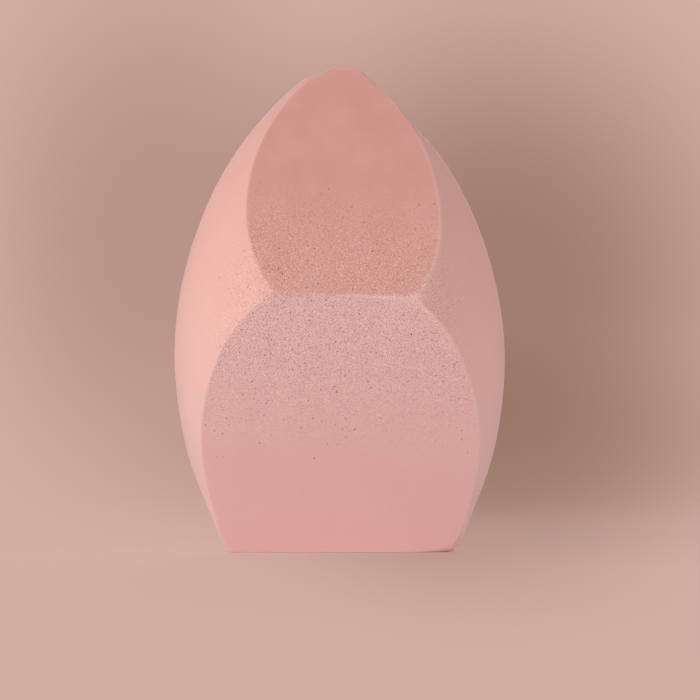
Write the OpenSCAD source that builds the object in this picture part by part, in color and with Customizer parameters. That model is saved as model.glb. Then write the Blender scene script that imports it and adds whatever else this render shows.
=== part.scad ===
// Makeup sponge: an egg of soft foam, moulded round and then cut flat three times.
// It stands on its flat base with its tip up. The two cut faces meet in a ridge at the front, -Y.

/* [Moulded body] */
// Height from the flat base to the tip
height = 60; // [54:0.5:72]
// Radius at the belly, the widest level
belly_r = 20.4; // [18:0.1:25]
// Height of the belly above the base
belly_z = 24; // [20:0.5:30]
// Radius of the round flank where it reaches the base
base_r = 13.8; // [12.5:0.1:17]
// Radius of the rounded tip
nose_r = 5.3; // [3:0.1:7.5]

/* [Cuts] */
// Height of the ridge where the two cut faces meet
ridge_z = 31.3; // [28:0.1:35]
// How far in front of the body's axis the ridge lies
ridge_front = 17.8; // [15.5:0.1:18.5]
// How far in front of the axis the upper cut face passes the tip
tip_front = 1; // [0.5:0.1:3]
// How far in front of the axis the lower cut face meets the base
base_front = 2.3; // [0.5:0.1:6]
// Turn of the upper cut face about the axis, in degrees
upper_turn = 4; // [-6:0.5:6]

/* [Skin] */
// Thickness of the closed skin that the mould leaves on the round flank
skin_t = 0.4; // [0.2:0.05:0.8]

/* [Hidden] */
$fn = 180;

// The flank is two arcs with an upright tangent at the belly, and the upper one runs into the tip's arc.
nose_z = height - nose_r;
nose_rise = nose_z - belly_z;
upper_arc_r = (pow(belly_r, 2) - pow(nose_r, 2) + pow(nose_rise, 2)) / (2 * (belly_r - nose_r));
base_draw = belly_r - base_r;
lower_arc_r = (pow(base_draw, 2) + pow(belly_z, 2)) / (2 * base_draw);
// Angle, up from level, at which the upper arc becomes the tip's arc
nose_join = asin(nose_rise / (upper_arc_r - nose_r));
// Lean of each cut face from the vertical
upper_lean = atan((ridge_front - tip_front) / (height - ridge_z));
lower_lean = atan((ridge_front - base_front) / ridge_z);
// A cut tool is a block wider than the body, laid against the ridge
tool = 2 * (height + belly_r);
// Largest angle between neighbouring points on the flank and on the tip
flank_step = 2.5;
nose_step = 6;

// Points along an arc from its first angle up to its last, the last one left out
function arc_points(centre, r, from, to, step) =
    let (n = ceil((to - from) / step))
    [for (i = [0 : n - 1]) let (a = from + (to - from) * i / n) centre + r * [cos(a), sin(a)]];

// Half outline of the moulded body from the base to the tip, drawn in by an inset
function outline(inset) = concat(
    arc_points([belly_r - lower_arc_r, belly_z], lower_arc_r - inset,
        -asin(belly_z / (lower_arc_r - inset)), 0, flank_step),
    arc_points([belly_r - upper_arc_r, belly_z], upper_arc_r - inset, 0, nose_join, flank_step),
    arc_points([0, nose_z], nose_r - inset, nose_join, 90, nose_step),
    [[0, height - inset]]
);

// The same outline from the tip down to the base
function outline_down(inset) =
    let (points = outline(inset))
    [for (i = [len(points) - 1 : -1 : 0]) points[i]];

// Everything in front of a face that leans by an angle from the vertical through the ridge.
// A positive lean falls back as it rises.
module cut_tool(lean, turn) {
    rotate([0, 0, turn]) translate([0, -ridge_front, ridge_z]) rotate([-lean, 0, 0])
        translate([-tool / 2, -tool, -tool / 2]) cube([tool, tool, tool]);
}

// Takes the two cuts off whatever is moulded
module cut_to_shape() {
    difference() {
        children();
        cut_tool(upper_lean, upper_turn);
        cut_tool(-lower_lean, 0);
    }
}

// Open-cell foam that fills the body and shows on the two cut faces and the base
module foam_core() {
    color([0.87, 0.66, 0.62])
        cut_to_shape() rotate_extrude() polygon(concat([[0, 0]], outline(skin_t)));
}

// Closed skin of the same foam, bonded to the core all round and missing where the foam is cut
module moulded_skin() {
    color([0.91, 0.71, 0.66])
        cut_to_shape() rotate_extrude() polygon(concat(outline(0), outline_down(skin_t)));
}

foam_core();
moulded_skin();
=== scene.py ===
import bpy
import math
import numpy as np
from functools import partial
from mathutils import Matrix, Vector


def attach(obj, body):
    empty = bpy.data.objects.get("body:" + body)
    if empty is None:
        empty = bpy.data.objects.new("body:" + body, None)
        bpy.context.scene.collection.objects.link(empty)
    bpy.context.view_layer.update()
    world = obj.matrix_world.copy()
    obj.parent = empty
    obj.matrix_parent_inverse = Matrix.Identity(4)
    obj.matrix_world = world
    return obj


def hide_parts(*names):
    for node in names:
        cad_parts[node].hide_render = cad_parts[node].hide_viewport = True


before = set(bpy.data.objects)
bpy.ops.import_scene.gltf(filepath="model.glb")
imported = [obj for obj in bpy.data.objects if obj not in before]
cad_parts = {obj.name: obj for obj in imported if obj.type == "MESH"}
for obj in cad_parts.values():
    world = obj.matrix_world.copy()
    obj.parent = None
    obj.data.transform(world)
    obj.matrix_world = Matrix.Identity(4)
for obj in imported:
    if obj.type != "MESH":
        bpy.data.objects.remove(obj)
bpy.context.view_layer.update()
mm = 0.001
tiny = 1e-9  # keeps divisions safe
print("frame loaded with", sorted(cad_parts))

# Sizes of the moulded body and its cuts, in millimetres: the CAD part's, apart from the last three
spongeForm = {
    "height": 60.0,
    "bellyRadius": 20.4,
    "bellyLevel": 24.0,
    "baseRadius": 13.8,
    "tipRadius": 5.3,
    "ridgeLevel": 31.3,
    "ridgeFront": 17.8,
    "tipFront": 1.0,
    "baseFront": 2.3,
    "upperTurn": 3.3,  # 4 in the CAD part
    "skinThickness": 0.36,  # 0.4 in the CAD part
    "lean": 0.0126,  # the tip stands a little to the left of the base
}
height = spongeForm["height"]
bellyRadius = spongeForm["bellyRadius"]
bellyLevel = spongeForm["bellyLevel"]
tipRadius = spongeForm["tipRadius"]
ridgeLevel = spongeForm["ridgeLevel"]
ridgeFront = spongeForm["ridgeFront"]
skinThickness = spongeForm["skinThickness"]
upperTurn = math.radians(spongeForm["upperTurn"])
noseLevel = height - tipRadius
noseRise = noseLevel - bellyLevel
upperArc = (bellyRadius ** 2 - tipRadius ** 2 + noseRise ** 2) / (2 * (bellyRadius - tipRadius))
baseDraw = bellyRadius - spongeForm["baseRadius"]
lowerArc = (baseDraw ** 2 + bellyLevel ** 2) / (2 * baseDraw)
noseJoin = math.asin(noseRise / (upperArc - tipRadius))
upperSlope = (ridgeFront - spongeForm["tipFront"]) / (height - ridgeLevel)
lowerSlope = (ridgeFront - spongeForm["baseFront"]) / ridgeLevel

# How soft the cut edges are, and where they are softer than elsewhere
edgeForm = {
    "rounding": 0.36,
    "ridgeRounding": 0.3,
    "ridgeReach": 2.5,  # above and below the ridge
    "ridgeFades": (15.5, 17),  # in front of the axis
    "baseRounding": 0.16,
    "baseFades": (0.5, 2.0),
    "softSpots": [  # place, how much rounder, how far that reaches
        ((9.0, -17.8, 30.8), 3.0, 1.8),
        ((-8.7, -17.8, 31.9), 1.8, 1.5),
        ((13.7, -1.2, 0.0), 1.5, 2.8),
        ((-13.5, -2.3, 0.0), 0.15, 1.5),
    ],
    "waves": 0.055,
    "waveFades": (0.4, 3.0),  # the waves begin above the base
    "waveLength": 9.0,
    "waveSpread": (0.55, 1.9),
    "waveCount": 14,
    "seed": 7,
}

tipForm = {
    "point": (0.6, 0.0, 60.1),
    "slope": 0.38,
    "blend": 0.4,
}

# Where the hand-made sponge is slimmer or fuller than the plain arcs
flankTrims = [  # level and its reach, turn from the front and its reach, how far in
    (54.0, 4.2, 108, 40, 0.54),
    (53.6, 4.6, 54, 19, -0.66),
    (58.6, 2.2, 62, 30, -0.2),
    (58.8, 2.2, -48, 22, 0.3),
    (38.0, 9.0, -90, 60, 0.12),
    (6.0, 7.0, 90, 60, 0.15),
    (28.0, 45.0, 0, 1000, 0.09),
    (1.8, 2.4, 0, 1000, -0.24),
]
trimFades = (0.5, 3.0)  # the trims begin this far from the axis

waveRandom = np.random.default_rng(edgeForm["seed"])
waveAim = waveRandom.normal(size=(edgeForm["waveCount"], 3))
waveAim /= np.linalg.norm(waveAim, axis=1)[:, None]
waveLengths = edgeForm["waveLength"] * waveRandom.uniform(*edgeForm["waveSpread"], edgeForm["waveCount"])
waveRate = 2 * math.pi / waveLengths
wavePhase = waveRandom.uniform(0, 2 * math.pi, edgeForm["waveCount"])


def smoothStep(value, low, high):
    t = np.clip((value - low) / (high - low), 0, 1)
    return t * t * (3 - 2 * t)


def flankSurface(points):  # how far outside the moulded outline each point is, and the outward direction
    reach = np.hypot(points[:, 0], points[:, 1])
    rise = points[:, 2] - bellyLevel
    onNose = np.arctan2(rise, reach - (bellyRadius - upperArc)) > noseJoin
    below = rise < 0
    out = np.where(below, reach - bellyRadius + lowerArc, reach - bellyRadius + upperArc)
    out = np.where(onNose & ~below, reach, out)
    up = np.where(onNose & ~below, points[:, 2] - noseLevel, rise)
    arc = np.where(below, lowerArc, np.where(onNose, tipRadius, upperArc))
    span = np.maximum(np.hypot(out, up), tiny)
    flat = points[:, :2] / np.maximum(reach, tiny)[:, None]
    aim = np.concatenate([flat * (out / span)[:, None], (up / span)[:, None]], axis=1)
    gap = span - arc
    # The tip is drawn to a soft point, a little to the right of the axis
    fromPoint = points - np.array(tipForm["point"])
    pointReach = np.maximum(np.hypot(fromPoint[:, 0], fromPoint[:, 1]), tiny)
    lean = math.hypot(1, tipForm["slope"])
    coneGap = (fromPoint[:, 2] + tipForm["slope"] * pointReach) / lean
    coneAim = np.concatenate([fromPoint[:, :2] * (tipForm["slope"] / lean / pointReach)[:, None],
                              np.full((len(points), 1), 1 / lean)], axis=1)
    share = np.clip(0.5 + 0.5 * (coneGap - gap) / tipForm["blend"], 0, 1)
    share = np.where(points[:, 2] > noseLevel, share, 0)
    gap = gap + share * (coneGap - gap) + tipForm["blend"] * share * (1 - share)
    aim = aim + share[:, None] * (coneAim - aim)
    turn = np.degrees(np.arctan2(points[:, 0], -points[:, 1]))
    offAxis = smoothStep(reach, *trimFades)
    for level, levelReach, middleTurn, turnReach, inward in flankTrims:
        gap = gap + inward * offAxis * np.exp(-((points[:, 2] - level) / levelReach) ** 2
                                              - ((turn - middleTurn) / turnReach) ** 2)
    return gap, aim / np.maximum(np.linalg.norm(aim, axis=1), tiny)[:, None]


def flankGap(points):
    return flankSurface(points)[0]


upperAim = np.array([math.sin(upperTurn), -math.cos(upperTurn), upperSlope]) / math.hypot(1, upperSlope)
lowerAim = np.array([0, -1, -lowerSlope]) / math.hypot(1, lowerSlope)
baseAim = np.array([0.0, 0.0, -1.0])


def allGaps(points):
    upper = points @ upperAim - (ridgeFront + upperSlope * ridgeLevel) / math.hypot(1, upperSlope)
    lower = points @ lowerAim - (ridgeFront - lowerSlope * ridgeLevel) / math.hypot(1, lowerSlope)
    return np.stack([flankGap(points), upper, lower, -points[:, 2]])


def roundingAt(points):
    onRidge = np.exp(-((points[:, 2] - ridgeLevel) / edgeForm["ridgeReach"]) ** 2)
    onRidge = onRidge * smoothStep(-points[:, 1], *edgeForm["ridgeFades"])
    onBase = 1 - smoothStep(points[:, 2], *edgeForm["baseFades"])
    size = edgeForm["rounding"] + (edgeForm["ridgeRounding"] - edgeForm["rounding"]) * onRidge
    size = size + (edgeForm["baseRounding"] - edgeForm["rounding"]) * onBase
    for place, extra, spread in edgeForm["softSpots"]:
        away = np.linalg.norm(points - np.array(place), axis=1)
        size = size + extra * np.exp(-(away / spread) ** 2)
    return size


def surfaceWaves(points):  # the slight unevenness of moulded and knife-cut foam
    heights = np.sin(points @ (waveAim * waveRate[:, None]).T + wavePhase).sum(axis=1)
    heights = heights / math.sqrt(edgeForm["waveCount"])
    return edgeForm["waves"] * heights * smoothStep(points[:, 2], *edgeForm["waveFades"])


def roundedSurface(points, rounds=36):  # the four surfaces, with a fillet wherever some of them meet
    soft = roundingAt(points)
    over = allGaps(points) + soft
    aims = np.stack([flankSurface(points)[1]] + [np.broadcast_to(a, points.shape)
                                                 for a in (upperAim, lowerAim, baseAim)])
    shared = np.einsum("ipx,jpx->ijp", aims, aims)
    pull = np.maximum(over, 0)
    for _ in range(rounds):
        for i in range(4):
            others = sum(shared[i, j] * pull[j] for j in range(4) if j != i)
            pull[i] = np.maximum(over[i] - others, 0)
    away = np.einsum("ip,ipx->px", pull, aims)
    distance = np.maximum(np.linalg.norm(away, axis=1), tiny)
    return distance - soft - surfaceWaves(points), away / distance[:, None]


def leaned(points, amount=spongeForm["lean"]):
    return points - np.stack([amount * points[:, 2], 0 * points[:, 0], 0 * points[:, 0]], axis=1)


def settle(points, rounds=8):  # brings points on the sharp form onto the rounded one
    for _ in range(rounds):
        gap, aim = roundedSurface(points)
        points = points - aim * gap[:, None]
    return points, roundedSurface(points)[1]


# How the body is divided into rings from the base to the tip, and the rings into columns
gridForm = {
    "cell": 0.78,
    "nearEdge": [0.1, 0.21, 0.34, 0.52, 0.82],  # rows beside an edge
    "faceColumns": 22,
    "rimColumns": 4,
    "backColumns": 96,
    "outlineSteps": 4000,
    "tiltReach": 12.0,
    "turnLimits": (0.02, 1.75),
    "leastTurn": 0.12,
    "leastFace": 0.12,  # share of a ring's cut face that is always bare foam
    "crowdedRadius": 8.0,  # below this the columns beside an edge draw together
    "leastRadius": 0.1,
    "tipRows": [1.9, 1.45, 1.05, 0.7, 0.4, 0.18],  # distance from the tip along the outline
    "tipClearance": 0.3,
    "capLevel": 59.38,  # above this the cut faces end and the skin closes the tip
    "baseCentre": 5.6,
    "baseFill": 0.9,  # rows on the base for each cell of its radius
    "baseRimRows": 3,  # rows of the base that show the skin's rim
}
nearEdge = gridForm["nearEdge"]


def flankRadius(level):
    onLower = bellyRadius - lowerArc + np.sqrt(np.maximum(lowerArc ** 2 - (level - bellyLevel) ** 2, 0))
    onUpper = bellyRadius - upperArc + np.sqrt(np.maximum(upperArc ** 2 - (level - bellyLevel) ** 2, 0))
    onNose = np.sqrt(np.maximum(tipRadius ** 2 - (level - noseLevel) ** 2, 0))
    joinLevel = noseLevel + tipRadius * math.sin(noseJoin)
    return np.where(level < bellyLevel, onLower, np.where(level < joinLevel, onUpper, onNose))


def gradedRow(length, cell, fineStart=True, fineEnd=True):
    start = [0.0] + nearEdge if fineStart else [0.0]
    end = [length - d for d in reversed([0.0] + nearEdge)] if fineEnd else [length]
    count = max(2, round((end[0] - start[-1]) / cell))
    middle = np.linspace(start[-1], end[0], count + 1)[1:-1]
    return np.array(start + list(middle) + end)


def ringTilt(ring, x):  # the ridge falls a little to the right, and the rings near it follow
    weight = smoothStep(1 - np.abs(ring - ridgeLevel) / gridForm["tiltReach"], 0, 1)
    fall = ridgeFront * (1 - math.cos(upperTurn)) - x * math.sin(upperTurn)
    return ring + weight * fall / (upperSlope + lowerSlope * math.cos(upperTurn))


def frontOf(x, level):  # how far back the cut faces lie
    upper = x * math.sin(upperTurn) - ridgeFront + upperSlope * (level - ridgeLevel)
    upper = upper / math.cos(upperTurn)
    lower = -(ridgeFront - lowerSlope * (ridgeLevel - level))
    return np.maximum(upper, lower)


def onFlank(ring, turn, rounds=4):  # turn is measured from the front, to the right
    x = flankRadius(ring) * np.sin(turn)
    for _ in range(rounds):
        level = np.minimum(ringTilt(ring, x), height)
        x = flankRadius(level) * np.sin(turn)
    return np.stack([x, -flankRadius(level) * np.cos(turn), level], axis=-1)


def onFace(ring, x):
    level = ringTilt(ring, x)
    reach = flankRadius(level)
    y = np.maximum(frontOf(x, level), -np.sqrt(np.maximum(reach ** 2 - x ** 2, 0)))
    return np.stack([x, y, level], axis=-1)


def creaseTurn(rings, side, rounds=40):  # where the cut face leaves the flank
    low, high = [np.full(len(rings), limit) for limit in gridForm["turnLimits"]]
    for _ in range(rounds):
        mid = (low + high) / 2
        place = onFlank(rings, side * mid)
        cutAway = place[:, 1] < frontOf(place[:, 0], place[:, 2])
        low, high = np.where(cutAway, mid, low), np.where(cutAway, high, mid)
    return side * np.maximum(high, gridForm["leastTurn"])


def borderX(rings, creaseX, middleX, rounds=30):  # where the skin ends on the cut face
    low, high = middleX.copy(), creaseX.copy()
    for _ in range(rounds):
        mid = (low + high) / 2
        inside = flankGap(onFace(rings, mid)) < -skinThickness
        low, high = np.where(inside, mid, low), np.where(inside, high, mid)
    least = gridForm["leastFace"]
    return np.where(np.abs(low - middleX) < least * np.abs(creaseX - middleX),
                    middleX + least * (creaseX - middleX), low)


# The outline's length from the base up to each level places the rings evenly
outlineLevels = height - np.linspace(math.sqrt(height), 0, gridForm["outlineSteps"]) ** 2
outlineSteps = np.hypot(np.diff(outlineLevels), np.diff(flankRadius(outlineLevels)))
outlineRun = np.concatenate([[0], np.cumsum(outlineSteps)])
ridgeRun = np.interp(ridgeLevel, outlineLevels, outlineRun)
lowerRuns = gradedRow(ridgeRun, gridForm["cell"])
upperRuns = ridgeRun + gradedRow(outlineRun[-1] - ridgeRun, gridForm["cell"], fineEnd=False)[1:]
tipRuns = outlineRun[-1] - np.array(gridForm["tipRows"])
upperRuns = upperRuns[upperRuns < tipRuns[0] - gridForm["tipClearance"]]
runs = np.concatenate([lowerRuns, upperRuns, tipRuns])
rings = np.interp(runs, outlineRun, outlineLevels)

rightTurn, leftTurn = creaseTurn(rings, 1), creaseTurn(rings, -1)
rightX = onFlank(rings, rightTurn)[:, 0]
leftX = onFlank(rings, leftTurn)[:, 0]
middleX = (rightX + leftX) / 2
rightBorder = borderX(rings, rightX, middleX)
leftBorder = borderX(rings, leftX, middleX)

# Columns run from the middle of the front to the right, round the back and home again
columns = []
zones = []
halfFace = gridForm["faceColumns"]
for k in range(halfFace):
    columns.append(onFace(rings, middleX + (rightBorder - middleX) * k / halfFace))
    zones.append("face")
for k in range(gridForm["rimColumns"]):
    columns.append(onFace(rings, rightBorder + (rightX - rightBorder) * k / gridForm["rimColumns"]))
    zones.append("rim")
ringRadius = flankRadius(rings)
edgeShare = np.minimum(1, ringRadius / gridForm["crowdedRadius"])
edgeShare = edgeShare / np.maximum(ringRadius, gridForm["leastRadius"])
rightStart = rightTurn + nearEdge[-1] * edgeShare
leftStart = leftTurn - nearEdge[-1] * edgeShare + 2 * math.pi
for offset in [0.0] + nearEdge[:-1]:
    columns.append(onFlank(rings, rightTurn + offset * edgeShare))
    zones.append("flank")
for k in range(gridForm["backColumns"] + 1):
    columns.append(onFlank(rings, rightStart + (leftStart - rightStart) * k / gridForm["backColumns"]))
    zones.append("flank")
for offset in reversed([0.0] + nearEdge[:-1]):
    columns.append(onFlank(rings, leftTurn - offset * edgeShare))
    zones.append("flank" if offset else "rim")
for k in range(1, gridForm["rimColumns"]):
    columns.append(onFace(rings, leftX + (leftBorder - leftX) * k / gridForm["rimColumns"]))
    zones.append("rim")
for k in range(halfFace):
    columns.append(onFace(rings, leftBorder + (middleX - leftBorder) * k / halfFace))
    zones.append("face")
sideGrid = np.stack(columns, axis=1)  # ring, column, xyz

# The base is filled with rows that follow its edge and then shrink to its centre
centre = np.array([0.0, gridForm["baseCentre"], 0.0])
edgeRow = sideGrid[0] * np.array([1, 1, 0])
toCentre = centre - edgeRow
edgeSpan = np.linalg.norm(toCentre, axis=1)[:, None]
baseRows = [edgeRow + toCentre / edgeSpan * offset for offset in nearEdge]
inner = baseRows[-1]
fillCount = round(spongeForm["baseRadius"] / gridForm["cell"] * gridForm["baseFill"])
for k in range(1, fillCount):
    baseRows.append(inner + (centre - inner) * k / fillCount)
baseGrid = np.stack(baseRows[::-1])
grid = np.concatenate([baseGrid, sideGrid])
ringCount, columnCount = grid.shape[:2]
baseCount = len(baseRows)
print("body grid of", ringCount, "rings and", columnCount, "columns")

sharpPoints = np.concatenate([grid.reshape(-1, 3), centre[None], [[0, 0, height]]])
bodyPoints, outward = settle(sharpPoints)
bodyPoints[:, 2] = np.maximum(bodyPoints[:, 2], 0)

# Faces, and which of them are the moulded skin. Row k lies between ring k and ring k + 1.
topBorder = baseCount + int(np.searchsorted(rings, gridForm["capLevel"]))
baseBorder = baseCount - gridForm["baseRimRows"]
bodyFaces, faceIsSkin = [], []
for r in range(ringCount - 1):
    for c in range(columnCount):
        n = (c + 1) % columnCount
        low, high = r * columnCount, (r + 1) * columnCount
        bodyFaces.append((low + c, low + n, high + n, high + c))
        faceIsSkin.append(r >= (topBorder if zones[c] == "face" else baseBorder))
basePole, tipPole = ringCount * columnCount, ringCount * columnCount + 1
for c in range(columnCount):
    n = (c + 1) % columnCount
    bodyFaces.append((basePole, n, c))
    faceIsSkin.append(False)
    last = (ringCount - 1) * columnCount
    bodyFaces.append((tipPole, last + c, last + n))
    faceIsSkin.append(True)

touchesCore = np.zeros(len(bodyPoints), bool)
touchesSkin = np.zeros(len(bodyPoints), bool)
for face, skinned in zip(bodyFaces, faceIsSkin):
    (touchesSkin if skinned else touchesCore)[list(face)] = True
innerPoints = bodyPoints - outward * np.where(touchesCore, 0, skinThickness)[:, None]


def makePiece(name, faceLists, points):  # faceLists holds (faces, point list, flipped)
    used, vertices, faces, shown = {}, [], [], []
    for group, source, flipped in faceLists:
        for face in group:
            corners = []
            for v in (reversed(face) if flipped else face):
                shared = touchesCore[v] and touchesSkin[v]
                key = (v, 0 if shared else source)
                if key not in used:
                    used[key] = len(vertices)
                    vertices.append(points[source][v] * mm)
                    shown.append(source == 0 or shared)
                corners.append(used[key])
            faces.append(corners)
    mesh = bpy.data.meshes.new(name)
    mesh.from_pydata([tuple(v) for v in vertices], [], faces)
    mesh.validate()
    piece = bpy.data.objects.new(name, mesh)
    bpy.context.scene.collection.objects.link(piece)
    return piece, np.array(shown, float)


skinFaces = [f for f, s in zip(bodyFaces, faceIsSkin) if s]
coreFaces = [f for f, s in zip(bodyFaces, faceIsSkin) if not s]
layers = [leaned(bodyPoints), leaned(innerPoints)]
foamCore, coreShown = makePiece("foamCore", [(coreFaces, 0, False), (skinFaces, 1, False)], layers)
mouldedSkin, skinShown = makePiece("mouldedSkin", [(skinFaces, 0, False), (skinFaces, 1, True)], layers)
print("body meshed:", len(foamCore.data.vertices), "and", len(mouldedSkin.data.vertices), "points")


# How open the foam is: most round the ridge, where the knife tore it
grainForm = {
    "least": 0.04,
    "lowerFades": (2.2, 11.4),  # how far behind the ridge it begins to close, and where it has
    "upperFades": (1.4, 9.4),
    "upper": 0.97,
    "flankFades": (1.0, 6.2),
    "flank": 1.0,
    "back": 0.4,
    "backFades": (-9, 7),
    "base": 0.7,
}
edgeBlend = (-0.04, 0.1)  # beside an edge, where one surface's look gives way to the next
upperFrom = (30.9, 31.8)  # levels between which the lower cut's look gives way to the upper cut's, with its painted shade


def mathNode(tree, operation, a, b=None):  # a and b are numbers or sockets
    node = tree.nodes.new("ShaderNodeMath")
    node.operation = operation
    for socket, value in zip(node.inputs, (a, b)):
        if isinstance(value, (int, float)):
            socket.default_value = value
        elif value is not None:
            tree.links.new(value, socket)
    return node.outputs[0]


def rangeNode(tree, value, low, high, toLow=0.0, toHigh=1.0, smooth=False):
    node = tree.nodes.new("ShaderNodeMapRange")
    if smooth:
        node.interpolation_type = "SMOOTHSTEP"
    tree.links.new(value, node.inputs["Value"])
    for name, number in (("From Min", low), ("From Max", high), ("To Min", toLow), ("To Max", toHigh)):
        node.inputs[name].default_value = number
    return node.outputs["Result"]


def blendNode(tree, amount, under, over):  # one colour laid over another
    node = tree.nodes.new("ShaderNodeMix")
    node.data_type = "RGBA"
    for socket, value in zip((node.inputs[0], node.inputs[6], node.inputs[7]), (amount, under, over)):
        if isinstance(value, tuple):
            socket.default_value = (*value, 1)
        else:
            tree.links.new(value, socket)
    return node.outputs[2]


poreForm = {
    "density": 2.0e7,  # at most, on a square metre
    "leastShare": 0.12,  # no pores where the foam is closer than this
    "lifts": (-0.45, 0.3),  # of a pore's middle over the surface, in its own radii
    "stretches": (0.72, 1.2),
    "spin": 6.28,
}


# Pores: small hollows cut into a piece where its poreShare attribute allows them
def buildPoreTree():
    tree = bpy.data.node_groups.new("foamPores", "GeometryNodeTree")
    face = tree.interface
    face.new_socket("Geometry", in_out="INPUT", socket_type="NodeSocketGeometry")
    for name, kind, value in (
        ("Spacing", "NodeSocketFloat", 0.0006),
        ("Smallest", "NodeSocketFloat", 0.00007),
        ("Largest", "NodeSocketFloat", 0.0002),
        ("Rarity", "NodeSocketFloat", 3.0),
        ("Seed", "NodeSocketInt", 1),
    ):
        face.new_socket(name, in_out="INPUT", socket_type=kind).default_value = value
    face.new_socket("Foam", in_out="INPUT", socket_type="NodeSocketMaterial")
    face.new_socket("Geometry", in_out="OUTPUT", socket_type="NodeSocketGeometry")
    nodes, links = tree.nodes, tree.links
    given = nodes.new("NodeGroupInput")
    result = nodes.new("NodeGroupOutput")
    combine = partial(mathNode, tree)

    def randomNode(kind, low, high, offset):
        node = nodes.new("FunctionNodeRandomValue")
        node.data_type = kind
        first = 0 if kind == "FLOAT_VECTOR" else 2
        node.inputs[first].default_value = low
        node.inputs[first + 1].default_value = high
        links.new(combine("ADD", given.outputs["Seed"], offset), node.inputs["Seed"])
        return node.outputs[0 if kind == "FLOAT_VECTOR" else 1]

    share = nodes.new("GeometryNodeInputNamedAttribute")
    share.data_type = "FLOAT"
    share.inputs["Name"].default_value = "poreShare"
    scatter = nodes.new("GeometryNodeDistributePointsOnFaces")
    scatter.distribute_method = "POISSON"
    links.new(given.outputs["Geometry"], scatter.inputs["Mesh"])
    links.new(given.outputs["Spacing"], scatter.inputs["Distance Min"])
    scatter.inputs["Density Max"].default_value = poreForm["density"]
    links.new(share.outputs["Attribute"], scatter.inputs["Density Factor"])
    links.new(given.outputs["Seed"], scatter.inputs["Seed"])

    grow = combine("POWER", randomNode("FLOAT", 0.0, 1.0, offset=11), given.outputs["Rarity"])
    span = combine("SUBTRACT", given.outputs["Largest"], given.outputs["Smallest"])
    size = combine("ADD", given.outputs["Smallest"], combine("MULTIPLY", grow, span))
    lift = combine("MULTIPLY", size, randomNode("FLOAT", *poreForm["lifts"], offset=23))
    raised = nodes.new("ShaderNodeVectorMath")
    raised.operation = "SCALE"
    links.new(scatter.outputs["Normal"], raised.inputs[0])
    links.new(lift, raised.inputs["Scale"])
    place = nodes.new("GeometryNodeSetPosition")
    links.new(scatter.outputs["Points"], place.inputs["Geometry"])
    links.new(raised.outputs["Vector"], place.inputs["Offset"])

    bubble = nodes.new("GeometryNodeMeshIcoSphere")
    bubble.inputs["Radius"].default_value = 1.0
    bubble.inputs["Subdivisions"].default_value = 1
    spin = nodes.new("FunctionNodeEulerToRotation")
    turned = randomNode("FLOAT_VECTOR", (0, 0, 0), (poreForm["spin"],) * 3, offset=37)
    links.new(turned, spin.inputs[0])
    stretch = nodes.new("ShaderNodeVectorMath")
    stretch.operation = "SCALE"
    least, most = poreForm["stretches"]
    stretched = randomNode("FLOAT_VECTOR", (least,) * 3, (most,) * 3, offset=41)
    links.new(stretched, stretch.inputs[0])
    links.new(size, stretch.inputs["Scale"])
    inside = nodes.new("FunctionNodeCompare")
    inside.data_type = "FLOAT"
    inside.operation = "GREATER_THAN"
    links.new(share.outputs["Attribute"], inside.inputs[0])
    inside.inputs[1].default_value = poreForm["leastShare"]
    bubbles = nodes.new("GeometryNodeInstanceOnPoints")
    links.new(place.outputs["Geometry"], bubbles.inputs["Points"])
    links.new(inside.outputs["Result"], bubbles.inputs["Selection"])
    links.new(bubble.outputs["Mesh"], bubbles.inputs["Instance"])
    links.new(spin.outputs[0], bubbles.inputs["Rotation"])
    links.new(stretch.outputs["Vector"], bubbles.inputs["Scale"])

    carve = nodes.new("GeometryNodeMeshBoolean")
    carve.operation = "DIFFERENCE"
    carve.solver = "MANIFOLD"
    links.new(given.outputs["Geometry"], carve.inputs["Mesh 1"])
    links.new(bubbles.outputs["Instances"], carve.inputs["Mesh 2"])
    realize = nodes.new("GeometryNodeRealizeInstances")
    links.new(carve.outputs["Mesh"], realize.inputs["Geometry"])
    finish = nodes.new("GeometryNodeSetMaterial")
    links.new(realize.outputs["Geometry"], finish.inputs["Geometry"])
    links.new(given.outputs["Foam"], finish.inputs["Material"])
    links.new(finish.outputs["Geometry"], result.inputs["Geometry"])
    return tree


def setInput(modifier, tree, name, value):
    for item in tree.interface.items_tree:
        if item.item_type == "SOCKET" and item.in_out == "INPUT" and item.name == name:
            modifier[item.identifier] = value


def meshPoints(mesh):
    flat = np.empty(len(mesh.vertices) * 3, np.float32)
    mesh.vertices.foreach_get("co", flat)
    return leaned(flat.reshape(-1, 3).astype(float) / mm, -spongeForm["lean"])


def edgeDistance(points):
    return -np.sort(allGaps(points), axis=0)[-2]


def storeValue(mesh, name, values):
    mesh.attributes.new(name, "FLOAT", "POINT").data.foreach_set("value", values.astype(np.float32))


def carvePores(piece, share, settings, material):
    storeValue(piece.data, "poreShare", share)
    modifier = piece.modifiers.new("pores", "NODES")
    modifier.node_group = poreTree
    for name, value in (
        ("Spacing", settings["poreSpacing"] * mm),
        ("Smallest", settings["smallestPore"] * mm),
        ("Largest", settings["largestPore"] * mm),
        ("Rarity", settings["bigPoreRarity"]),
        ("Seed", settings["seed"]),
        ("Foam", material),
    ):
        setInput(modifier, poreTree, name, value)
    evaluated = piece.evaluated_get(bpy.context.evaluated_depsgraph_get())
    carved = bpy.data.meshes.new_from_object(evaluated)
    piece.modifiers.clear()
    piece.data = carved
    carved.name = piece.name
    for name in ("poreShare", "UVMap"):
        if name in carved.attributes:
            carved.attributes.remove(carved.attributes[name])
    carved.shade_smooth()
    carved.set_sharp_from_angle(angle=math.radians(settings["sharpAngle"]))
    triangles = sum(len(p.vertices) - 2 for p in carved.polygons)
    print(piece.name, "has", triangles, "triangles after carving")


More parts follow.
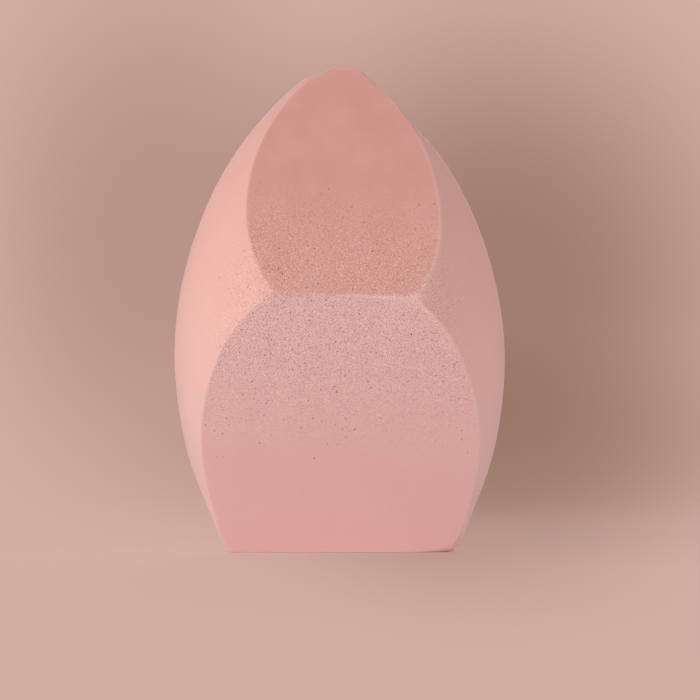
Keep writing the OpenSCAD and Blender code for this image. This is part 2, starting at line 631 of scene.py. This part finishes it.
def cutShare(points):  # 1 where the foam was cut, 0 where the mould shaped it
    gaps = allGaps(points)
    return smoothStep(gaps[1:].max(axis=0) - gaps[0], *edgeBlend)


def upperShare(points):  # 0 on the lower cut, 1 on the upper one
    return smoothStep(points[:, 2], *upperFrom)


def grainShare(points):
    behind = points[:, 1] + ridgeFront
    gaps = allGaps(points)
    onLower = 1 - smoothStep(behind, *grainForm["lowerFades"])
    onUpper = grainForm["upper"] * (1 - smoothStep(behind, *grainForm["upperFades"]))
    onMoulded = grainForm["flank"] * (1 - smoothStep(behind, *grainForm["flankFades"]))
    onBack = grainForm["back"] * smoothStep(points[:, 1], *grainForm["backFades"])
    onMoulded = np.maximum(onMoulded, onBack)
    cut = cutShare(points)
    share = onMoulded + (onLower - onMoulded) * cut
    share = share + (onUpper - share) * cut * upperShare(points)
    onBase = smoothStep(gaps[3] - gaps[:3].max(axis=0), *edgeBlend)
    share = share + (grainForm["base"] - share) * onBase
    return grainForm["least"] + (1 - grainForm["least"]) * share


paleEdgeAndPoreShadeForm = {
    "leftShare": 0.15,  # the edges on the left are painted less pale than those on the right
    "acrossFades": (-3, 6),
    "baseFades": (0.3, 1.2),  # the edge of the base is painted pale all round
    "edgeFades": (0.03, 0.3),
    "poreFades": (0.02, 0.12),
}


# What the materials read: how near an edge a point is, how deep in a pore, and on which surface
def storeMaterialMasks(piece):
    points = meshPoints(piece.data)
    # The cut edges are painted pale: partly the frayed foam's own paleness, partly a painted glow of
    # light through the thin edge
    onRight = smoothStep(points[:, 0], *paleEdgeAndPoreShadeForm["acrossFades"])
    paleShare = paleEdgeAndPoreShadeForm["leftShare"] + (1 - paleEdgeAndPoreShadeForm["leftShare"]) * onRight
    paleShare = np.maximum(paleShare, 1 - smoothStep(points[:, 2], *paleEdgeAndPoreShadeForm["baseFades"]))
    mesh = piece.data
    storeValue(mesh, "edgeFrayAndGlow", paleShare * (1 - smoothStep(edgeDistance(points), *paleEdgeAndPoreShadeForm["edgeFades"])))
    # how deep a point lies in a pore, for the pores' painted shade
    storeValue(mesh, "poreDepth", smoothStep(-roundedSurface(points)[0], *paleEdgeAndPoreShadeForm["poreFades"]))
    storeValue(mesh, "upperShadeShare", upperShare(points))
    storeValue(mesh, "cutShare", cutShare(points))
    storeValue(mesh, "grainShare", grainShare(points))


# Each piece's map for its baked textures. The cut faces and the base lie flat on it, the flank is
# unrolled from the back, and what is hidden inside gets a small corner.
upperAcross = np.array([math.cos(upperTurn), math.sin(upperTurn), 0])
upperAlong = np.cross(upperAim, upperAcross)
lowerAlong = np.cross(lowerAim, [1, 0, 0])
coreLayout = {  # place and scales of each island, on a map of this width in millimetres
    "width": 58.8,
    "lower": (0.5, 0.5, 1.0, 1.0),
    "base": (0.5, 37.5, 1.0, 1.0),
    "upper": (35.0, 0.5, 1.0, 1.0),
    "hidden": (35.0, 35.5, 0.2, 0.2),
}
skinLayout = {
    "width": 109.5,
    "flank": (0.5, 0.5, 1.0, 1.28),
    "tip": (0.5, 88.0, 1.0, 1.0),
    "hidden": (10.0, 88.0, 0.3, 0.3),
    "tipFrom": 58.9,  # the level above which the tip lies flat
    "rimBelow": 0.4,  # the level below which the rim on the base is added under the flank
    "leastRadius": 0.5,
    "inwards": -0.6,  # a face turned this far from the outward direction is inside
}


def flattened(points, middles, kind):
    if kind == "upper":
        return np.stack([points @ upperAcross, points @ upperAlong], axis=1)
    if kind == "lower":
        return np.stack([points[:, 0], points @ lowerAlong], axis=1)
    if kind in ("base", "tip"):
        return points[:, :2]
    # Faces across the front seam stay whole
    middleTurn = np.arctan2(middles[:, 0], middles[:, 1])
    turn = np.arctan2(points[:, 0], points[:, 1])
    turn = middleTurn + (turn - middleTurn + math.pi) % (2 * math.pi) - math.pi
    level = np.clip(points[:, 2], 0, height)
    radius = np.maximum(flankRadius(level), skinLayout["leastRadius"])
    underRim = np.minimum(np.hypot(points[:, 0], points[:, 1]) - radius, 0)
    underRim = underRim * (level < skinLayout["rimBelow"])
    return np.stack([turn * radius, np.interp(level, outlineLevels, outlineRun) + underRim], axis=1)


def layOut(piece, layout):
    mesh = piece.data
    count = len(mesh.polygons)
    centres, normals = np.empty(count * 3, np.float32), np.empty(count * 3, np.float32)
    sizes, vertexOf = np.empty(count, np.int32), np.empty(len(mesh.loops), np.int32)
    mesh.polygons.foreach_get("center", centres)
    mesh.polygons.foreach_get("normal", normals)
    mesh.polygons.foreach_get("loop_total", sizes)
    mesh.loops.foreach_get("vertex_index", vertexOf)
    centres = leaned(centres.reshape(-1, 3).astype(float) / mm, -spongeForm["lean"])
    normals = normals.reshape(-1, 3)
    if "flank" in layout:
        inwards = (normals * flankSurface(centres)[1]).sum(axis=1) < layout["inwards"]
        kinds = np.where(centres[:, 2] > layout["tipFrom"], "tip", "flank")
        kinds = np.where(inwards, "hidden", kinds)
    else:
        kinds = np.array(["hidden", "upper", "lower", "base"])[allGaps(centres).argmax(axis=0)]
    owner = np.repeat(np.arange(count), sizes)
    corners = meshPoints(mesh)[vertexOf]
    places = np.zeros((len(owner), 2))
    for kind in np.unique(kinds):
        mine = (kinds == kind)[owner]
        flat = flattened(corners[mine], centres[owner[mine]], kind)
        places[mine] = (flat - flat.min(axis=0)) * layout[kind][2:] + layout[kind][:2]
    layer = mesh.uv_layers.new(name="OFBake")
    layer.data.foreach_set("uv", (places / layout["width"]).astype(np.float32).ravel())
    print(piece.name, "is laid out flat in", len(np.unique(kinds)), "islands")


# Foam: how far each pattern is stretched, and what it does to the colour and the relief
patternForm = {
    "cells": (0.12, 0.75),
    "pinholes": (0.34, 0.16),
    "pinholeFade": 0.02,
    "mottle": (0.32, 0.68),
    "sand": (0.34, 0.66),
    "middle": 0.5,  # grain above this is pale, below it dark
    "palest": 0.94,
    "darkest": 0.0,
    "flankLevels": (0.01, 0.04),
    "wear": (0.2, 0.8, 0.4, 1.0),
    "pinholeDepth": 1.2,
    "fineRelief": (0.0, 1.0, 0.05, 0.3),
}


def foamMaterial(name, look):
    material = bpy.data.materials.new(name)
    material.use_nodes = True
    tree = material.node_tree
    nodes, links = tree.nodes, tree.links
    combine, ramped, blend = (partial(maker, tree) for maker in (mathNode, rangeNode, blendNode))
    nodes.clear()
    output = nodes.new("ShaderNodeOutputMaterial")
    shader = nodes.new("ShaderNodeBsdfPrincipled")
    links.new(shader.outputs["BSDF"], output.inputs["Surface"])
    shader.inputs["Roughness"].default_value = look["roughness"]
    shader.inputs["Specular IOR Level"].default_value = look["specular"]
    shader.inputs["Sheen Weight"].default_value = look["sheen"]
    shader.inputs["Sheen Roughness"].default_value = look["sheenRoughness"]
    shader.inputs["Sheen Tint"].default_value = (*look["sheenTint"], 1)
    coords = nodes.new("ShaderNodeTexCoord")

    def noiseAt(size, detail, rough):
        node = nodes.new("ShaderNodeTexNoise")
        links.new(coords.outputs["Object"], node.inputs["Vector"])
        node.inputs["Scale"].default_value = 1 / (size * mm)
        node.inputs["Detail"].default_value = detail
        node.inputs["Roughness"].default_value = rough
        return node.outputs["Fac"]

    def attribute(name):
        node = nodes.new("ShaderNodeAttribute")
        node.attribute_name = name
        return node.outputs["Fac"]

    # Foam cells with pale walls and dark hollows, and pinholes in a few cells of a coarser pattern
    def voronoiAt(size, randomness):
        node = nodes.new("ShaderNodeTexVoronoi")
        links.new(coords.outputs["Object"], node.inputs["Vector"])
        node.inputs["Scale"].default_value = 1 / (size * mm)
        node.inputs["Randomness"].default_value = randomness
        return node

    cells = voronoiAt(look["cellSize"], randomness=1.0)
    cells = ramped(cells.outputs["Distance"], *patternForm["cells"])
    holes = voronoiAt(look["pinholeSpacing"], randomness=0.9)
    cellTone = nodes.new("ShaderNodeSeparateColor")
    links.new(holes.outputs["Color"], cellTone.inputs["Color"])
    rarity = look["pinholeRarity"]
    chosen = ramped(cellTone.outputs[0], rarity, rarity + patternForm["pinholeFade"])
    pinhole = combine("MULTIPLY", ramped(holes.outputs["Distance"], *patternForm["pinholes"]), chosen)
    share = attribute("grainShare")
    pinhole = combine("MULTIPLY", pinhole, share)

    # The grain is half cells and half sand, and it flattens out where the foam is closed
    mottle = ramped(noiseAt(look["mottleSize"], detail=3.0, rough=0.55), *patternForm["mottle"])
    sand = ramped(noiseAt(look["speckleSize"], detail=2.0, rough=0.7), *patternForm["sand"])
    grain = combine("ADD", combine("MULTIPLY", cells, 0.5), combine("MULTIPLY", sand, 0.5))
    middle = patternForm["middle"]
    grain = combine("ADD", middle, combine("MULTIPLY", combine("SUBTRACT", grain, middle), share))

    place = nodes.new("ShaderNodeSeparateXYZ")
    links.new(coords.outputs["Object"], place.inputs["Vector"])
    # Painted light: the moulded flank is painted paler low down, where light thrown back from the floor
    # falls, and darker and deeper in colour higher up
    rise = ramped(place.outputs["Z"], *patternForm["flankLevels"])
    mouldedPaintedBounce = blend(rise, look["flankLowBounceLit"], look["flankHigh"])
    # Painted shade: the upper cut is painted darker than the lower cut, the same foam, as it faces away
    # from the light
    colour = blend(attribute("upperShadeShare"), look["lowerColour"], look["upperShadedColour"])
    colour = blend(attribute("cutShare"), mouldedPaintedBounce, colour)
    colour = blend(combine("MULTIPLY", mottle, look["mottleStrength"]), colour, look["mottleColour"])
    pale = ramped(grain, middle, patternForm["palest"], 0.0, look["speckleStrength"])
    dark = ramped(grain, middle, patternForm["darkest"], 0.0, look["speckleStrength"])
    onLower = combine("MULTIPLY", attribute("cutShare"), combine("SUBTRACT", 1.0, attribute("upperShadeShare")))
    colour = blend(pale, colour, blend(onLower, look["warmSpeckle"], look["paleSpeckle"]))
    colour = blend(dark, colour, look["darkSpeckle"])
    # The cut edges are painted pale: partly the frayed foam's own paleness, partly a painted glow of
    # light through the thin edge, more on the right
    paleEdge = combine("MULTIPLY", attribute("edgeFrayAndGlow"), ramped(grain, *patternForm["wear"]))
    colour = blend(combine("MULTIPLY", paleEdge, look["edgePaleness"]), colour, look["paleSpeckle"])
    # Painted shade: the pinholes are painted dark, as the insides of tiny holes lie in shade
    colour = blend(combine("MULTIPLY", pinhole, look["pinholeShadeStrength"]), colour, look["holeShadeColour"])
    # Painted shade: the carved pores are painted darker the deeper they go
    deep = combine("MULTIPLY", attribute("poreDepth"), look["poreShadeStrength"])
    colour = blend(deep, colour, look["holeShadeColour"])
    links.new(colour, shader.inputs["Base Color"])

    relief = combine("SUBTRACT", grain, combine("MULTIPLY", pinhole, patternForm["pinholeDepth"]))
    fine = noiseAt(look["grainSize"], detail=2.0, rough=0.6)
    fine = combine("MULTIPLY", fine, ramped(share, *patternForm["fineRelief"]))
    relief = combine("ADD", relief, fine)
    bump = nodes.new("ShaderNodeBump")
    bump.inputs["Strength"].default_value = look["bumpStrength"]
    bump.inputs["Distance"].default_value = look["bumpDepth"] * mm
    links.new(relief, bump.inputs["Height"])
    links.new(bump.outputs["Normal"], shader.inputs["Normal"])
    return material


poreTree = buildPoreTree()

coreLook = {
    "poreSpacing": 0.44,
    "smallestPore": 0.05,
    "largestPore": 0.16,
    "bigPoreRarity": 5.0,
    "seed": 5,
    "sharpAngle": 40,
    "lowerColour": (0.80, 0.434, 0.392),
    # the upper cut's colour is darker by painted shade
    "upperShadedColour": (0.69, 0.316, 0.264),
    # the flank's low colour is paler by painted bounce light from the floor
    "flankLowBounceLit": (0.785, 0.46, 0.402),
    "flankHigh": (0.775, 0.402, 0.34),
    "mottleColour": (0.80, 0.46, 0.42),
    "mottleStrength": 0.22,
    "mottleSize": 5.0,
    "paleSpeckle": (0.96, 0.63, 0.57),
    "warmSpeckle": (0.94, 0.54, 0.455),
    "darkSpeckle": (0.46, 0.215, 0.18),
    "speckleStrength": 0.98,
    "speckleSize": 0.15,
    "cellSize": 0.14,
    "grainSize": 0.13,
    "edgePaleness": 0.3,
    "holeShadeColour": (0.36, 0.15, 0.12),
    "pinholeSpacing": 0.42,
    "pinholeRarity": 0.8,
    "pinholeShadeStrength": 0.38,
    "poreShadeStrength": 0.24,
    "roughness": 0.92,
    "specular": 0.18,
    "sheen": 0.12,
    "sheenRoughness": 0.6,
    "sheenTint": (1.0, 0.86, 0.82),
    "bumpStrength": 0.55,
    "bumpDepth": 0.05,
}
cutFoam = foamMaterial("cutFoam", coreLook)
carvePores(foamCore, coreShown * grainShare(meshPoints(foamCore.data)), coreLook, cutFoam)
storeMaterialMasks(foamCore)
layOut(foamCore, coreLayout)

skinLook = dict(coreLook)
skinLook.update({
    "poreSpacing": 0.7,
    "smallestPore": 0.045,
    "largestPore": 0.12,
    "seed": 9,
    "pinholeRarity": 0.86,
    "sheen": 0.18,
})
foamSkin = foamMaterial("foamSkin", skinLook)
carvePores(mouldedSkin, skinShown * grainShare(meshPoints(mouldedSkin.data)), skinLook, foamSkin)
storeMaterialMasks(mouldedSkin)
layOut(mouldedSkin, skinLayout)

for piece, node, slotName in (
    (foamCore, "foam_core", "cut_foam"),
    (mouldedSkin, "moulded_skin", "foam_skin"),
):
    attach(piece, "root")
    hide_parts(node)
print("pieces placed")

# Floor: a wide round table top that sweeps up into a backdrop all round
floorForm = {
    "flatRings": (0.12, 0.35),
    "flatRadius": 0.75,
    "sweepRadius": 0.5,
    "wallHeight": 1.0,
    "segments": 96,
    "sweepSteps": 16,
    "colour": (0.97, 0.66, 0.57),
    "roughness": 0.9,
    "specular": 0.1,
    "backdropColour": (0.651, 0.421, 0.359),
    "paintedShadowColour": (0.24, 0.118, 0.083),
    "paintedShadows": [  # across, up, width and height, at one metre from the fan point, and strength
        (0.037, 0.014, 0.086, 0.096, 0.71),
        (-0.046, 0.029, 0.065, 0.091, 0.4),
        (0.032, -0.026, 0.1, 0.036, 0.43),
    ],
    "shadeCore": 0.15,  # share of a painted shadow that has its full strength
    "fanFront": 0.5,  # the painted shadows fan out from a point this far in front of the sponge
    "fanLevel": 0.0247,
    "leastDepth": 0.1,
    "shadeFades": (-0.28, -0.1),  # the painted shadows begin here and go on behind
    "bounceColour": (0.58, 0.58, 0.6),
    "nearEven": 0.86,
    "litRadius": 0.03,
    "evenRadius": 0.2,
}
profile = [(reach, 0.0) for reach in (0.0, *floorForm["flatRings"], floorForm["flatRadius"])]
for k in range(1, floorForm["sweepSteps"] + 1):
    a = math.pi / 2 * k / floorForm["sweepSteps"]
    profile.append((floorForm["flatRadius"] + floorForm["sweepRadius"] * math.sin(a),
                    floorForm["sweepRadius"] * (1 - math.cos(a))))
profile.append((profile[-1][0], profile[-1][1] + floorForm["wallHeight"]))
floorPoints = [(0.0, 0.0, 0.0)]
floorFaces = []
segments = floorForm["segments"]
for reach, rise in profile[1:]:
    for k in range(segments):
        a = 2 * math.pi * k / segments
        floorPoints.append((reach * math.cos(a), reach * math.sin(a), rise))
for k in range(segments):
    floorFaces.append((0, 1 + k, 1 + (k + 1) % segments))
for ring in range(len(profile) - 2):
    first = 1 + ring * segments
    for k in range(segments):
        n = (k + 1) % segments
        floorFaces.append((first + k, first + segments + k, first + segments + n, first + n))
floorMesh = bpy.data.meshes.new("studioFloor")
floorMesh.from_pydata(floorPoints, [], floorFaces)
floorMesh.shade_smooth()
studioFloor = bpy.data.objects.new("studioFloor", floorMesh)
bpy.context.scene.collection.objects.link(studioFloor)
floorPaint = bpy.data.materials.new("floorPaint")
floorPaint.use_nodes = True
tree = floorPaint.node_tree
nodes, links = tree.nodes, tree.links
combine, ramped, blend = (partial(maker, tree) for maker in (mathNode, rangeNode, blendNode))
paint = nodes["Principled BSDF"]
paint.inputs["Base Color"].default_value = (*floorForm["colour"], 1)
paint.inputs["Roughness"].default_value = floorForm["roughness"]
paint.inputs["Specular IOR Level"].default_value = floorForm["specular"]
# Far from the sponge the backdrop has one even colour, near it the lit floor with its shadow shows too
place = nodes.new("ShaderNodeTexCoord")
spread = nodes.new("ShaderNodeVectorMath")
spread.operation = "LENGTH"
links.new(place.outputs["Object"], spread.inputs[0])
evenness = ramped(spread.outputs["Value"], floorForm["litRadius"], floorForm["evenRadius"],
                  toLow=floorForm["nearEven"], smooth=True)
# Painted shadows: the even colour is darker in three soft patches, two beside the sponge and one at its
# foot
split = nodes.new("ShaderNodeSeparateXYZ")
links.new(place.outputs["Object"], split.inputs[0])
depth = combine("ADD", split.outputs["Y"], floorForm["fanFront"])
depth = combine("MAXIMUM", depth, floorForm["leastDepth"])
across = combine("DIVIDE", split.outputs["X"], depth)
up = combine("DIVIDE", combine("SUBTRACT", split.outputs["Z"], floorForm["fanLevel"]), depth)
clear = 1.0
for middle, level, width, rise, strength in floorForm["paintedShadows"]:
    aside = combine("DIVIDE", combine("SUBTRACT", across, middle), width)
    above = combine("DIVIDE", combine("SUBTRACT", up, level), rise)
    away = combine("ADD", combine("MULTIPLY", aside, aside), combine("MULTIPLY", above, above))
    away = combine("SQRT", away)
    patch = ramped(away, floorForm["shadeCore"], 1.0, toLow=1 - strength, smooth=True)
    clear = combine("MULTIPLY", patch, clear)
behind = ramped(split.outputs["Y"], *floorForm["shadeFades"])
paintedShadow = combine("MULTIPLY", combine("SUBTRACT", 1.0, clear), behind)
even = nodes.new("ShaderNodeEmission")
links.new(blend(paintedShadow, floorForm["backdropColour"], floorForm["paintedShadowColour"]), even.inputs["Color"])
mixer = nodes.new("ShaderNodeMixShader")
links.new(evenness, mixer.inputs["Fac"])
links.new(paint.outputs["BSDF"], mixer.inputs[1])
links.new(even.outputs["Emission"], mixer.inputs[2])
# What the floor throws back onto the sponge is a plain grey
bounce = nodes.new("ShaderNodeBsdfDiffuse")
bounce.inputs["Color"].default_value = (*floorForm["bounceColour"], 1)
ray = nodes.new("ShaderNodeLightPath")
forCamera = nodes.new("ShaderNodeMixShader")
links.new(ray.outputs["Is Camera Ray"], forCamera.inputs["Fac"])
links.new(bounce.outputs["BSDF"], forCamera.inputs[1])
links.new(mixer.outputs["Shader"], forCamera.inputs[2])
links.new(forCamera.outputs["Shader"], nodes["Material Output"].inputs["Surface"])
floorMesh.materials.append(floorPaint)

# Lights: soft round lamps that all face the sponge's middle
lightForm = {  # place, diameter, watts and colour
    "keyLeft": ((-0.54, -0.45, 0.14), 0.4, 1.93, (1.0, 1.0, 1.0)),
    "keyLow": ((-0.6, -0.4, 0.09), 0.2, 2.15, (1.0, 1.0, 1.0)),
    "frontFill": ((0.12, -0.75, 0.06), 0.3, 1.3, (1.0, 1.0, 1.0)),
    "rightFront": ((0.6, -0.35, 0.15), 0.4, 0.45, (1.0, 0.97, 0.96)),
    "rightLow": ((0.69, -0.2, 0.09), 0.2, 1.85, (1.0, 0.97, 0.96)),
    "backFill": ((0.0, 0.75, 0.2), 0.4, 3.0, (1.0, 1.0, 1.0)),
    "topBack": ((0.0, 0.3, 0.6), 0.4, 0.45, (1.0, 1.0, 1.0)),
    "leftHigh": ((-0.45, 0.1, 0.5), 0.4, 0.6, (1.0, 1.0, 1.0)),
}
spongeMiddle = Vector((0.0, 0.0, 0.03))
for name, (place, size, power, colour) in lightForm.items():
    lamp = bpy.data.lights.new(name, "AREA")
    lamp.shape = "DISK"
    lamp.size = size
    lamp.energy = power
    lamp.color = colour
    light = bpy.data.objects.new(name, lamp)
    light.location = place
    light.visible_camera = False
    bpy.context.scene.collection.objects.link(light)
    light.rotation_mode = "QUATERNION"
    light.rotation_quaternion = (spongeMiddle - light.location).to_track_quat("-Z", "Y")

worldForm = {
    "colour": (1.0, 0.93, 0.9),
    "strength": 0.02,
}
world = bpy.data.worlds.new("studioWorld")
world.use_nodes = True
background = world.node_tree.nodes["Background"]
background.inputs["Color"].default_value = (*worldForm["colour"], 1)
background.inputs["Strength"].default_value = worldForm["strength"]
bpy.context.scene.world = world
bpy.context.scene.view_settings.view_transform = "Standard"

# Camera: level, half a metre in front
cameraForm = {
    "x": 0.00097,
    "distance": 0.5,
    "level": 0.02482,
    "frameWidth": 0.0862,  # width of the picture where the sponge stands
    "sensor": 36.0,
    "clip": (0.01, 20),
}
lens = bpy.data.cameras.new("photoCamera")
lens.sensor_width = cameraForm["sensor"]
lens.lens = cameraForm["sensor"] * cameraForm["distance"] / cameraForm["frameWidth"]
lens.clip_start, lens.clip_end = cameraForm["clip"]
camera = bpy.data.objects.new("photoCamera", lens)
camera.location = (cameraForm["x"], -cameraForm["distance"], cameraForm["level"])
camera.rotation_euler = (math.pi / 2, 0, 0)
bpy.context.scene.collection.objects.link(camera)
bpy.context.scene.camera = camera
print("stage, lights and camera set")
